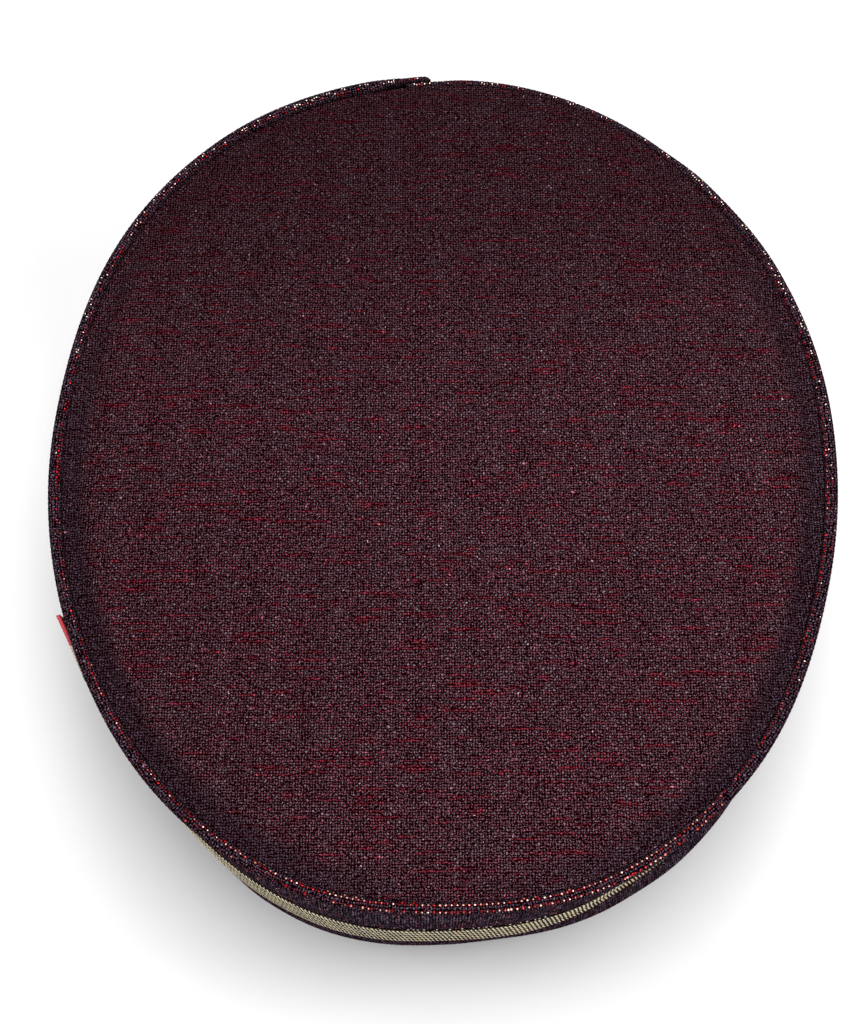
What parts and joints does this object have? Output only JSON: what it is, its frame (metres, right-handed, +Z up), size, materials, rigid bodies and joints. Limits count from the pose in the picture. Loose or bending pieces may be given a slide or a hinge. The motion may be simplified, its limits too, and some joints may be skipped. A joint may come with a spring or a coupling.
{
  "type": "bellhop hat",
  "caption": "Oval pillbox hat of dark red lurex cloth with a sunken top, a turned ridge, a pale gold braid round the wall and an open hollow for the head",
  "frame": {"origin": "on the floor under the middle of the hat's bounding box, in the plane that the hem rests on", "axes": "+Z up; the front of the hat faces -Y; +X is the wearer's left"},
  "size_m": [0.1818, 0.203, 0.08],
  "materials": {
    "crown_cloth": "dark woven lurex, navy ground with dull red metallic thread",
    "ridge_cloth": "the same cloth turned over, with red glints along the fold",
    "wall_cloth": "the same cloth, seen in fine upright ribs",
    "braid": "pale gold metallic ribbon with a fine slanted twill",
    "hem_cloth": "the same cloth turned under",
    "tab_weave": "plain woven tab in red, ecru and green, without text"
  },
  "bodies": {
    "root": {"crown_top": "crown_cloth", "top_ridge": "ridge_cloth", "side_band": "wall_cloth", "gold_braid": "braid", "hem_fold": "hem_cloth", "side_tab": "tab_weave"}
  },
  "joints": []
}
